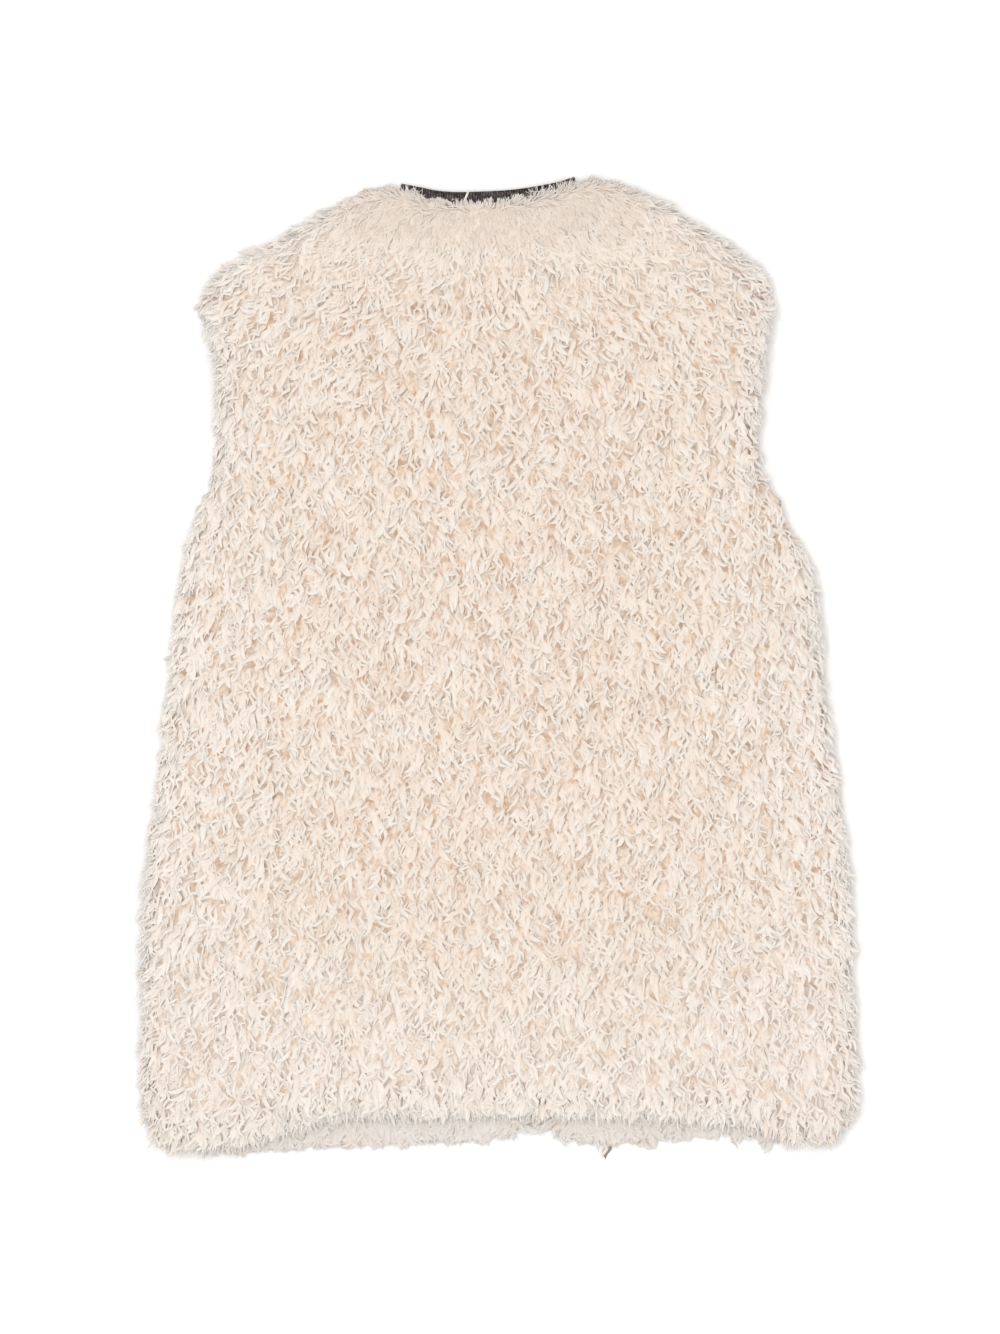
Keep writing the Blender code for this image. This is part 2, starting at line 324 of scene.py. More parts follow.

# %% [markdown]
# Each curl is painted paler at its tip, as painted light, and browner at its root, as painted shade, since
# the roots show only as the warm shade of small gaps. The ramp along each curl gives that, and the second
# ramp gives some locks a warmer or a cooler tone, and paints shade on the deepest curls and light on the
# rim.

# %% Fur finish
# From the deepest and brownest curls, in painted shade, to the highest and palest, in painted light
TONES = (
    (0.0, (0.90, 0.72, 0.58)),
    (0.2, (0.98, 0.94, 0.90)),
    (0.45, (0.995, 0.99, 0.975)),
    (0.75, (1.0, 1.02, 1.04)),
    (1.0, (1.04, 1.08, 1.11)),
)
STREAKS = ((0.3, (0.93, 0.91, 0.89)), (0.65, (1.0, 1.0, 1.0)))
ROOT_END = 0.3


def make_fur(name, root, middle, tip):
    """Curls of one colour: root, middle and tip, with painted shade at the root and painted light at the
    tip.
    """
    material, tree, shader = new_material(name, 0.6, 0.15)
    strand = tree.nodes.new("ShaderNodeAttribute")
    strand.attribute_name = "strand"
    hairs = tree.nodes.new("ShaderNodeGroup")
    hairs.node_tree = hair_lines
    tree.links.new(strand.outputs["Vector"], hairs.inputs["Strand"])
    # Painted shade at the root and painted light at the tip
    along = colour_ramp(tree, ((0.0, root), (ROOT_END, middle), (1.0, tip)))
    tone = colour_ramp(tree, TONES)
    streaks = colour_ramp(tree, STREAKS)
    tree.links.new(hairs.outputs["Along"], along.inputs["Fac"])
    tree.links.new(hairs.outputs["Tone"], tone.inputs["Fac"])
    tree.links.new(hairs.outputs["Lines"], streaks.inputs["Fac"])
    colour = multiply_colours(tree, along.outputs["Color"], tone.outputs["Color"])
    colour = multiply_colours(tree, colour, streaks.outputs["Color"])
    tree.links.new(colour, shader.inputs["Base Color"])
    bump(tree, shader, hairs.outputs["Lines"], 0.25, 0.5 * MM)
    return material


cream_fur = make_fur("cream curls", (0.58, 0.38, 0.27), (0.74, 0.645, 0.565), (0.795, 0.735, 0.68))
# Painted shade: the fronts' curls are the same cream painted darker, as shade for fronts that lie under the
# back
front_fur = make_fur("cream curls in shade", (0.565, 0.42, 0.32), (0.71, 0.64, 0.575), (0.75, 0.69, 0.64))
# Painted light: the wisps are the same cream painted paler, as light shining through fine hair
wisp_fur = make_fur("pale wisps", (0.78, 0.70, 0.625), (0.82, 0.765, 0.70), (0.85, 0.81, 0.765))
print("made three fur finishes")

# %% [markdown]
# Between the curls the dense underfur shows in small gaps, painted tan as their warm shade. The wrong side
# of the cloth is a plain knit, seen only from beneath.

# %% Underfur and cloth finishes
GAP_SHADE_TAN = ((0.35, (0.50, 0.34, 0.24)), (0.6, (0.72, 0.60, 0.49)))
PALE_TAN = (0.76, 0.67, 0.58, 1.0)
# Share of the height from hem to neck, and how pale the underfur is there
PALENESS = ((0.0, 0.5), (0.3, 0.0), (0.86, 0.0), (0.94, 1.0))
KNIT = ((0.0, (0.62, 0.52, 0.42)), (1.0, (0.78, 0.69, 0.58)))


def make_underfur():
    """The short dense hair under the curls: painted tan as the shade in the gaps between curls, mottled, and
    paler at the neck and the hem.
    """
    material, tree, shader = new_material("underfur painted in gap shade", 0.8, 0.2)
    patches = noise(tree, 160.0, 3.0, 0.6)
    place = lay_out(tree, patches)
    # Painted shade: the tan of the gaps between the curls
    tan = colour_ramp(tree, GAP_SHADE_TAN)
    tree.links.new(patches.outputs["Fac"], tan.inputs["Fac"])
    split = tree.nodes.new("ShaderNodeSeparateXYZ")
    tree.links.new(place.outputs["Object"], split.inputs[0])
    height = tree.nodes.new("ShaderNodeMapRange")
    height.inputs["From Min"].default_value = back_low.y
    height.inputs["From Max"].default_value = back_high.y
    tree.links.new(split.outputs["Y"], height.inputs["Value"])
    paleness = colour_ramp(tree, [(share, (pale, pale, pale)) for share, pale in PALENESS])
    tree.links.new(height.outputs["Result"], paleness.inputs["Fac"])
    colour = tree.nodes.new("ShaderNodeMix")
    colour.data_type = "RGBA"
    colour.inputs["B"].default_value = PALE_TAN
    tree.links.new(paleness.outputs["Color"], colour.inputs["Factor"])
    tree.links.new(tan.outputs["Color"], colour.inputs["A"])
    tree.links.new(colour.outputs["Result"], shader.inputs["Base Color"])
    bump(tree, shader, patches.outputs["Fac"], 0.8, 1.5 * MM)
    return material


def make_backing():
    """The wrong side of the fur cloth: a plain cream knit with fine ribs."""
    material, tree, shader = new_material("cream knit backing", 0.85, 0.1)
    ribs = rib_waves(tree, 180.0, 0.6)
    lay_out(tree, ribs)
    colour = colour_ramp(tree, KNIT)
    tree.links.new(ribs.outputs["Fac"], colour.inputs["Fac"])
    tree.links.new(colour.outputs["Color"], shader.inputs["Base Color"])
    bump(tree, shader, ribs.outputs["Fac"], 0.5, 0.4 * MM)
    return material


underfur_finish = make_underfur()
backing_finish = make_backing()
print("made the underfur and backing finishes")

# %% [markdown]
# The table is plain and pale, so that it neither colours the fur nor draws the eye.

# %% Floor finish
TABLE = ((0.0, (0.955, 0.955, 0.955)), (1.0, (0.965, 0.965, 0.965)))


def make_floor():
    """A pale matt table top with a faint grain."""
    material, tree, shader = new_material("pale table", 0.9, 0.0)
    grain = noise(tree, 6.0)
    lay_out(tree, grain)
    colour = colour_ramp(tree, TABLE)
    tree.links.new(grain.outputs["Fac"], colour.inputs["Fac"])
    tree.links.new(colour.outputs["Color"], shader.inputs["Base Color"])
    return material


floor.data.materials.append(make_floor())
print("the floor is pale")

# %% [markdown]
# Backing cloth. Fur cloth is a knit with the pile on one side. Each panel's cloth is cut from its
# solid: the flat face on the cloth's side is kept, drawn in from the fur's edge, and given its
# thickness. The back's cloth faces down and the fronts' cloth faces up, wrong side to wrong side.

# %% Backing cloths
CLOTH_THICKNESS = 1.6 * MM
BACK_CLOTH_INSET = 7 * MM
FRONT_CLOTH_INSET = 14 * MM


def cut_cloth(node, name, level, thickness, inset):
    """A flat sheet cut from the solid's flat face at one level."""
    piece = copy_solid(node, name)
    bpy.ops.object.mode_set(mode="EDIT")
    select_faces(piece, lambda face: abs(face.calc_center_median().z - level) > SAME_PLACE)
    bpy.ops.mesh.delete(type="FACE")
    bpy.ops.mesh.select_all(action="SELECT")
    bpy.ops.mesh.inset(thickness=inset, use_boundary=True)
    bpy.ops.mesh.select_all(action="INVERT")
    bpy.ops.mesh.delete(type="FACE")
    bpy.ops.mesh.select_all(action="SELECT")
    bpy.ops.mesh.extrude_region_move(TRANSFORM_OT_translate={"value": (0, 0, thickness)})
    bpy.ops.mesh.select_all(action="SELECT")
    bpy.ops.mesh.normals_make_consistent(inside=False)
    bpy.ops.object.mode_set(mode="OBJECT")
    return piece


def flat_area(piece):
    """The area of a sheet's upper side."""
    return sum(face.area for face in piece.data.polygons if face.normal.z > 0.9)


cloths = {"back": cut_cloth("back", "back_cloth", back_low.z, CLOTH_THICKNESS, BACK_CLOTH_INSET)}
for side in SIDES:
    cloths[side] = cut_cloth(side, side + "_cloth", front_high.z, -CLOTH_THICKNESS, FRONT_CLOTH_INSET)
for node, cloth in cloths.items():
    finish_piece(cloth, backing_finish, "fur" if node == "back" else "front_fur", node)
    print(cloth.name, "is", round(flat_area(cloth), 3), "square metres")

# %% [markdown]
# Underfur. Below the curls the pile is a dense, soft mass. It is the solid again, drawn in by the
# depth of the curls and roughened, so that no light reaches the cloth between the curls. Beside
# the neck the fur is short, so the underfur's sides reach further out there, and its top is
# lowered a little to keep its lumps under the hairs.

# %% Underfur
CURL_DEPTH = 4.5 * MM
FRONT_CURL_DEPTH = 3.0 * MM
FRONT_GRAIN = 4.0 * MM
FRONT_SHARE_KEPT = 0.3
FRONT_PILE_BOTTOM = 2.6 * MM
LUMP = 2.0 * MM
LUMP_SPACING = 0.012
NECK_MIDDLE = -0.009
# The fur gets short and calm between these two heights, and less so towards the shoulders
CALM_START = 0.292
CALM_FULL = 0.335
CALM_WIDTH = 0.09
CALM_FADE = 1.9
CALM_REACH = 1.6
CALM_DROP = 1.7 * MM

lumps = bpy.data.textures.new("lumps of underfur", "CLOUDS")
lumps.noise_scale = LUMP_SPACING


def smooth_step(share):
    """An even step from 0 to 1."""
    share = np.clip(share, 0, 1)
    return share * share * (3 - 2 * share)


def calmness(places):
    """One beside the neck, where the fur is short and lies smooth, and less further away."""
    upward = smooth_step((places[:, 1] - CALM_START) / (CALM_FULL - CALM_START))
    return upward * smooth_step(CALM_FADE - np.abs(places[:, 0] - NECK_MIDDLE) / CALM_WIDTH)


def draw_in(piece, depth, low, high, smoothing):
    """Draws a solid's sides in by a depth, less so at the neck, and fits it between two levels."""
    apply_modifier(piece, "SMOOTH", factor=0.5, iterations=smoothing)
    places = points_of(piece)
    normals = np.array([point.normal for point in piece.data.vertices])
    places[:, :2] -= normals[:, :2] * depth * (1 - CALM_REACH * calmness(places))[:, None]
    bottom, top = places[:, 2].min(), places[:, 2].max()
    places[:, 2] = low + (places[:, 2] - bottom) * (high - low) / (top - bottom)
    move_points(piece, places)
    return piece


def even_mesh(piece):
    """The same form with small faces of one size, where the solid's flat sides are single faces."""
    apply_modifier(piece, "REMESH", mode="VOXEL", voxel_size=FRONT_GRAIN)
    apply_modifier(piece, "DECIMATE", ratio=FRONT_SHARE_KEPT)
    return piece


def roughen(piece):
    """Raises soft lumps all over the underfur, and lowers it under the short hairs at the neck."""
    apply_modifier(piece, "DISPLACE", texture=lumps, texture_coords="LOCAL", strength=LUMP)
    places = points_of(piece)
    share = (places[:, 2] - places[:, 2].min()) / np.ptp(places[:, 2])
    places[:, 2] -= CALM_DROP * share * calmness(places)
    move_points(piece, places)


back_pile = draw_in(
    copy_solid("back", "back_underfur"),
    CURL_DEPTH,
    back_low.z + CLOTH_THICKNESS + CLEARANCE,
    back_high.z - CURL_DEPTH,
    smoothing=2,
)
front_piles = {}
for side in SIDES:
    front_piles[side] = draw_in(
        even_mesh(copy_solid(side, side + "_underfur")),
        FRONT_CURL_DEPTH,
        FRONT_PILE_BOTTOM,
        front_high.z - CLOTH_THICKNESS - CLEARANCE,
        smoothing=1,
    )
print("the underfur of the back has", len(back_pile.data.polygons), "faces")

# %% [markdown]
# Curls. Faux fur of this kind is crimped into waves, hooks and commas. Each is modelled once, by
# growing a three-sided circle ring by ring: extrude, turn, shrink, and merge the last ring to a
# point. It gets few faces, because it is copied thousands of times.

# %% Curls
# Name, length and width in mm, swing in degrees, waves, turn at the tip in degrees, rise in mm,
# and how common the kind is beside the others
CURLS = (
    ("long wave", 21, 3.3, 55, 1.1, 25, 3.0, 26),
    ("tight wave", 19, 2.9, 72, 1.1, -20, 3.0, 22),
    ("hook", 16, 3.4, 25, 0.6, 130, 3.4, 12),
    ("comma", 15, 3.9, 14, 0.6, 80, 3.4, 18),
    ("slack wisp", 21, 2.1, 32, 1.0, 15, 2.6, 14),
    ("broad lock", 19, 5.4, 26, 0.9, 40, 2.0, 12),
    ("stray hair", 11, 1.0, 10, 0.5, 25, 0.8, 0),
)
# Places in the list of curls, where each kind is followed by its mirror image
CALM_KINDS = (8, 9)
STRAY_KINDS = (12, 13)
RINGS = 4
FLATNESS = 0.5
WIDTHS = (0.6, 0.95, 1.0, 0.76, 0.28)
CURVE_STEPS = 60
RISE_TURN = 0.8 * math.pi
EARLY_RISE = 0.6
TINY = 1e-9


def curl_path(length, swing, waves, hook, rise):
    """The place and the heading of a curl at each ring."""
    share = np.linspace(0.0, 1.0, CURVE_STEPS * RINGS + 1)
    heading = np.radians(swing) * np.sin(2 * np.pi * waves * share) + np.radians(hook) * share**3
    step = length / (len(share) - 1)
    across = -np.cumsum(np.sin(heading)) * step
    onward = np.cumsum(np.cos(heading)) * step
    upward = rise * np.sin(RISE_TURN * share**EARLY_RISE)
    places = np.column_stack([across - across[0], onward - onward[0], upward])
    return places[::CURVE_STEPS], heading[::CURVE_STEPS]


def model_curl(name, length, width, swing, waves, hook, rise):
    """One curl, from its root at the origin, lying along +Y."""
    places, headings = curl_path(length * MM, swing, waves, hook, rise * MM)
    bpy.ops.object.select_all(action="DESELECT")
    bpy.ops.mesh.primitive_circle_add(
        vertices=3,
        radius=0.5 * width * MM * WIDTHS[0],
        fill_type="NGON",
        rotation=(math.pi / 2, 0, 0),
    )
    curl = bpy.context.object
    curl.name = name
    bpy.ops.object.transform_apply(location=False, rotation=True, scale=True)
    bpy.ops.object.mode_set(mode="EDIT")
    bpy.ops.mesh.select_all(action="SELECT")
    bpy.ops.transform.resize(value=(1, 1, FLATNESS), center_override=(0, 0, 0))
    for ring in range(1, RINGS + 1):
        move = Vector(places[ring] - places[ring - 1])
        turn = headings[ring] - headings[ring - 1]
        shrink = WIDTHS[ring] / WIDTHS[ring - 1]
        bpy.ops.mesh.extrude_region_move(TRANSFORM_OT_translate={"value": move})
        # Without a window this operator turns the other way, so the angle's sign is changed
        bpy.ops.transform.rotate(value=-turn, orient_axis="Z", center_override=places[ring])
        bpy.ops.transform.resize(value=(shrink,) * 3, center_override=places[ring])
    bpy.ops.mesh.merge(type="CENTER")
    bpy.ops.mesh.select_all(action="SELECT")
    bpy.ops.mesh.quads_convert_to_tris()
    bpy.ops.mesh.normals_make_consistent(inside=False)
    bpy.ops.object.mode_set(mode="OBJECT")
    return curl, places, headings


def unit(rows):
    """Rows scaled to length one."""
    return rows / np.maximum(np.linalg.norm(rows, axis=-1, keepdims=True), TINY)


def curl_arrays(curl, places, headings, length, width):
    """A curl as arrays: its middle line and what stands off it, faces, and strand coordinates."""
    points = points_of(curl)
    ring = np.linalg.norm(points[:, None] - places[None], axis=2).argmin(1)
    middle = places[ring]
    right = np.column_stack([np.cos(headings), np.sin(headings)])[ring]
    side = ((points - middle)[:, :2] * right).sum(1) / (0.5 * width * MM)
    return {
        "middle": middle,
        "stand_off": points - middle,
        "faces": np.array([face.vertices[:] for face in curl.data.polygons]),
        "strand": np.column_stack([side, ring / RINGS]),
        "tip": places[-1],
        "length": length * MM,
    }


def mirror(curl):
    """The same curl turned over from left to right."""
    flip = np.array([-1, 1, 1])
    changed = {name: curl[name] * flip for name in ("middle", "stand_off", "tip")}
    return {**curl, **changed, "faces": curl["faces"][:, ::-1]}


curls = []
for name, length, width, swing, waves, hook, rise, _ in CURLS:
    model, places, headings = model_curl(name, length, width, swing, waves, hook, rise)
    curl = curl_arrays(model, places, headings, length, width)
    curls += [curl, mirror(curl)]
    bpy.data.objects.remove(model)
curl_tips = np.array([curl["tip"] for curl in curls])
curl_lengths = np.array([curl["length"] for curl in curls])
curl_shares = np.repeat([row[-1] for row in CURLS], 2) / 2
curl_shares = curl_shares / curl_shares.sum()
print(len(curls), "curls of", len(curls[0]["faces"]), "triangles, half of them mirrored")

# %% [markdown]
# Roots. The curls are rooted evenly on the underfur, with a little chance. Faces are put in an
# order that runs through near neighbours, and one root falls in each equal share of their area:
# that keeps the roots from heaping up as plain chance would.

# %% Roots on the underfur
CODE_BITS = 10


def near_order(places):
    """An order of places in which near ones follow each other."""
    low, high = places.min(0), places.max(0)
    cells = ((places - low) / (high - low).max() * (2**CODE_BITS - 1)).astype(np.int64)
    code = np.zeros(len(places), np.int64)
    for bit in range(CODE_BITS):
        for axis in range(3):
            code |= ((cells[:, axis] >> bit) & 1) << (3 * bit + axis)
    return np.argsort(code)


def scatter(piece, count, chance, wanted):
    """Roots on a piece: their places, and the directions out of the surface there."""
    mesh = piece.data
    mesh.calc_loop_triangles()
    corners = np.empty(len(mesh.loop_triangles) * 3, np.int32)
    mesh.loop_triangles.foreach_get("vertices", corners)
    corners = corners.reshape(-1, 3)
    places = points_of(piece)
    normals = np.array([point.normal for point in mesh.vertices])
    a, b, c = (places[corners[:, i]] for i in range(3))
    crossed = np.cross(b - a, c - a)
    area = np.linalg.norm(crossed, axis=1) / 2
    facing = crossed / (2 * area + 1e-12)[:, None]
    area = area * wanted((a + b + c) / 3, facing)
    order = near_order((a + b + c) / 3)
    total = np.cumsum(area[order])
    at = (np.arange(count) + chance.random(count)) / count * total[-1]
    chosen = order[np.minimum(np.searchsorted(total, at), len(order) - 1)]
    shares = chance.dirichlet((1, 1, 1), count)[:, :, None]
    roots = (places[corners[chosen]] * shares).sum(1)
    return roots, unit((normals[corners[chosen]] * shares).sum(1))


# %% [markdown]
# Combing. The pile lies down the back. Towards the shoulders it fans out to the sides, and at the
# edges it leans out a little. Beside the neck the last hairs turn up towards the tape. Slow waves
# turn whole locks together, and each curl also goes its own way a little.

# %% Combing
SHOULDER_START = 0.15
SHOULDER_FULL = 0.33
SHOULDER_SPREAD = 1.25
SHOULDER_WIDTH = 0.15
SIDE_SPREAD = 0.4
HALF_WIDTH = 0.27
NECK_TURN = 16 * MM
# How much less the calm fur leans out at the rim, and how the rest turns, leans and droops there
RIM_CALM = 0.3
RIM_TURN = 0.6
RIM_LEAN = 0.8
RIM_DROOP = 0.35
WAVES = 9
# The locks turn together in long waves, and in short ones that are stretched along the fur
LOCK_TURN = 0.2
LONG_WAVE = 0.045
SHORT_WAVE = 0.016
STRETCHED = (1, 0.35, 1)
# How much each curl turns, pitches and rolls in its own way, and how much calmer the neck's are
OWN_TURN = 0.15
OWN_PITCH = (0.03, 0.11)
OWN_ROLL = 0.25
CALMER = 0.7
STEEPEST = 0.3


def slow_waves(places, length, seed):
    """A smooth field of chance over the panel, about -1 to 1, in waves of one length."""
    chance = np.random.default_rng(seed)
    field = np.zeros(len(places))
    for angle, start in zip(chance.uniform(0, math.tau, WAVES), chance.uniform(0, math.tau, WAVES)):
        way = np.array([math.cos(angle), math.sin(angle)]) * math.tau / length
        field += np.sin(places[:, :2] @ way * chance.uniform(0.7, 1.3) + start)
    return field / (WAVES / 2)


def combing(roots, out):
    """The way that the curls lie, for each root."""
    x, y = roots[:, 0], roots[:, 1]
    shoulder = smooth_step((y - SHOULDER_START) / (SHOULDER_FULL - SHOULDER_START))
    spread = SIDE_SPREAD * (x / HALF_WIDTH) ** 3
    spread += SHOULDER_SPREAD * shoulder * np.tanh((x - NECK_MIDDLE) / SHOULDER_WIDTH)
    from_neck = edge_height(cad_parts["back"], x, max) - y
    turned = calmness(roots) * smooth_step(1 - from_neck / NECK_TURN)
    way = unit(np.column_stack([spread, 2 * turned - 1, np.zeros(len(x))]))
    rim = ((1 - np.abs(out[:, 2])) * (1 - RIM_CALM * calmness(roots)))[:, None]
    droop = np.array([0, 0, -1]) * rim
    return unit(way * (1 - RIM_TURN * rim) + out * RIM_LEAN * rim + RIM_DROOP * droop)


def turn_about(first, second, angle):
    """Two directions turned towards each other by an angle."""
    cos, sin = np.cos(angle)[:, None], np.sin(angle)[:, None]
    return first * cos + second * sin, second * cos - first * sin


def curl_axes(roots, out, chance, calm):
    """Right, onward and up directions of each curl, strayed from the combing."""
    onward = combing(roots, out)
    up = out - (out * onward).sum(1)[:, None] * onward
    steep = np.linalg.norm(up, axis=1) < STEEPEST
    up[steep] = (0, 0, 1)
    up = unit(up - (up * onward).sum(1)[:, None] * onward)
    right = np.cross(onward, up)
    wild = 1 - CALMER * calm
    turn = LOCK_TURN * slow_waves(roots, LONG_WAVE, seed=3)
    turn += LOCK_TURN * slow_waves(roots * STRETCHED, SHORT_WAVE, seed=4)
    turn += chance.normal(0, OWN_TURN, len(roots))
    onward, right = turn_about(onward, right, turn * wild)
    onward, up = turn_about(onward, up, chance.normal(*OWN_PITCH, len(roots)) * wild)
    right, up = turn_about(right, up, chance.normal(0, OWN_ROLL, len(roots)) * wild)
    return right, onward, up


# %% [markdown]
# Partings. Here and there the locks part and show the warm underfur. Each parting is a place over
# the back and a width, and it pushes what is near it aside, so that the locks bend round it.

# %% Partings in the fur
PARTINGS = 1000
PARTING_SIZES = (0.2 * MM, 0.9 * MM)
PARTING_SPREAD = 5.0 * MM
PARTING_STRETCH = 2.2
FEWER_AT_SIDES = 0.6
CALM_LIMIT = 0.1


def scatter_partings(chance):
    """The places and widths of the partings, and a tree that finds the nearest."""
    low, high = (back_low.x, back_low.y, 0), (back_high.x, back_high.y, 0)
    places = chance.uniform(low, high, (PARTINGS, 3))
    inner = 1 - FEWER_AT_SIDES * (places[:, 0] / back_high.x) ** 2
    places = places[(calmness(places) < CALM_LIMIT) & (chance.random(PARTINGS) < inner)]
    sizes = chance.uniform(*PARTING_SIZES, len(places))
    tree = KDTree(len(places))
    for i, (x, y, _) in enumerate(places):
        tree.insert((x, y / PARTING_STRETCH, 0), i)
    tree.balance()
    return sizes, tree


parting_sizes, parting_tree = scatter_partings(np.random.default_rng(5))
print(len(parting_sizes), "partings")


def push_aside(places):
    """How far places move away from the nearest parting, more to the side than along the fur."""
    flat = places * (1, 1 / PARTING_STRETCH, 0)
    found = [parting_tree.find(place) for place in flat]
    away = flat - np.array([centre for centre, _, _ in found])
    gap = np.array([gap for _, _, gap in found])
    size = parting_sizes[[which for _, which, _ in found]]
    push = (np.hypot(gap, size) - gap) * np.exp(-((gap / PARTING_SPREAD) ** 2))
    return unit(away) * push[:, None] * (1, PARTING_STRETCH, 0)


# %% [markdown]
# Planting. Thousands of hairs in a lock scatter light among themselves, so a lock is lit much as the panel
# that it lies on. Each curl's shading normals are therefore leant towards the panel's, which softens the fur
# without losing the curls' outlines. The deeper a point lies in the pile, the warmer and browner its tone,
# as painted shade.

# %% Planting curls
PRESSING = 1.5 * MM
OWN_SHADE = 0.5
# Painted shade: how much browner a point is painted for each metre that it lies lower
DEPTH_SHADE_TONE = 60.0
FADED_ROOT = 0.28


def pressed_above(heights, level):
    """Heights kept above a level: what comes near it is flattened, and keeps its order."""
    gap = heights - level
    return np.where(gap < PRESSING, level + PRESSING * np.exp(np.minimum(gap / PRESSING - 1, 0)), heights)


def plant(name, kinds, start, axes, scale, widths, tone, lean, fade, top=1.0):
    """One mesh with a copy of a curl at each start. Where fade is 1, its brown root, painted as shade, is
    hidden.
    """
    axes = np.stack(axes, axis=1)
    batches = {"places": [], "faces": [], "marks": [], "normals": []}
    offset = 0
    for kind in sorted(set(kinds)):
        curl = curls[kind]
        mine = np.flatnonzero(kinds == kind)
        middle = curl["middle"] * scale[mine, None, None]
        local = middle + curl["stand_off"] * widths[mine, None, None]
        line = (start[mine, None] + middle @ axes[mine]).reshape(-1, 3)
        own = unit(curl["stand_off"] + (0, 0, 1e-6)) @ axes[mine]
        index = np.arange(len(mine))[:, None, None] * len(curl["middle"]) + offset
        marks = np.empty((len(mine), len(curl["middle"]), 3))
        marks[:, :, :2] = curl["strand"]
        marks[:, :, 1] = np.maximum(marks[:, :, 1], FADED_ROOT * fade[mine, None])
        # Painted shade: the lower a point lies, the browner its tone
        marks[:, :, 2] = tone[mine, None] + DEPTH_SHADE_TONE * local[:, :, 2]
        points = (start[mine, None] + local @ axes[mine]).reshape(-1, 3)
        batches["places"].append(points + push_aside(line))
        batches["normals"].append(unit(OWN_SHADE * own + lean[mine, None]).reshape(-1, 3))
        batches["faces"].append((curl["faces"][None] + index).reshape(-1, 3))
        batches["marks"].append(marks.reshape(-1, 3))
        offset += len(mine) * len(curl["middle"])
    places = np.vstack(batches["places"])
    places[:, 2] = -pressed_above(-pressed_above(places[:, 2], 0.0), -top)
    mesh = bpy.data.meshes.new(name)
    mesh.from_pydata(places, [], np.vstack(batches["faces"]))
    mesh.attributes.new("strand", "FLOAT_VECTOR", "POINT")
    mesh.attributes["strand"].data.foreach_set("vector", np.vstack(batches["marks"]).ravel())
    mesh.polygons.foreach_set("use_smooth", np.ones(len(mesh.polygons), bool))
    mesh.normals_split_custom_set_from_vertices(np.vstack(batches["normals"]))
    piece = bpy.data.objects.new(name, mesh)
    bpy.context.scene.collection.objects.link(piece)
    return piece


# %% [markdown]
# Trimming. A barber would cut the fur to an even length. Here each curl that would reach too far
# past the solid, at the hem or above the pile, is made shorter, which keeps the vest's outline.
# The hem and the sides are paler than the middle, and their gaps are less deep.

# %% Growing the fur
ROOT_SINK = 1.2 * MM
TRIM_ROUNDS = 2
SHORTEST = 0.25
RIDGE = 0.8 * MM
RIDGE_WAVE = 0.017
RIDGE_STRETCH = (1, 0.3, 1)
DEEPEST = 0.8 * MM
SIZES = (0.75, 1.2)
THICKNESSES = (0.7, 1.3)
# How much smaller and thinner the calm curls are, and how much closer they are trimmed
CALM_SIZE = 0.3
CALM_THICKNESS = 0.25
CALM_TRIM = 0.85
# How far tips may stand out in locks, at the shoulders, at the hem and at the neck, and how much
# less low on the sides. A pair is the height where a change starts and how wide the change is.
LOCK_POINTS = 4.0 * MM
LOCK_WAVE = 0.014
SHOULDER_REACH = 4.5 * MM
SHOULDER_TOP = (0.25, 0.03)
HEM_REACH = 8.0 * MM
HEM_TOP = (-0.28, 0.06)
NECK_REACH = 0.4 * MM
UNDERCUT = 4.0 * MM
# The sides get paler up to this far out, and the skirt gets paler below this height
PALE_SIDE = 0.24
PALE_SKIRT = (-0.15, 0.2)
EVENED = 0.4
FADED = 0.6
# A tone's own chance, its waves, and what the calm and the pale fur add to it
OWN_TONE = 0.45
TONE_WAVE = 0.1
TONE_LENGTH = 0.06
CALM_EVENNESS = 0.6
CALM_TONE = 0.26
LEAST_TONE = 0.1
PALE_TONE = 0.35
# Painted light makes the rim paler than the top, and painted shade makes it darker than the top at the hem
RIM_PAINTED_LIGHT = 0.8
HEM_SHADE = 0.35
HEM_RIM = (-0.34, 0.04)
# How the shading leans: up to the sky, out at the sides, and down the back where the fur is calm
SKY = 1.2
SIDE_LEAN = 0.2
CALM_LEAN = 0.7
CALM_WEIGHT = 2


def skin_of(node):
    """A solid's surface, to measure from."""
    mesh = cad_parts[node].data
    return BVHTree.FromPolygons(
        [point.co for point in mesh.vertices],
        [face.vertices[:] for face in mesh.polygons],
    )


def reach_past(skin, tips):
    """How far each tip is outside the solid, less than zero inside it."""
    reach = np.empty(len(tips))
    for i, tip in enumerate(tips):
        near, normal, _, gap = skin.find_nearest(tip)
        reach[i] = gap if (Vector(tip) - near).dot(normal) > 0 else -gap
    return reach


def above(height, band):
    """A step from 0 to 1 that starts at a height and is done after its width."""
    start, width = band
    return smooth_step((height - start) / width)


def below(height, band):
    """A step from 0 to 1 that starts at a height and goes down."""
    start, width = band
    return smooth_step((start - height) / width)


def pale_share(roots):
    """One at the sides and low on the skirt, where the fur is paler, and 0 in the middle."""
    sides = np.clip(np.abs(roots[:, 0]) / PALE_SIDE, 0, 1) ** 3
    return np.clip(sides + below(roots[:, 1], PALE_SKIRT), 0, 1)


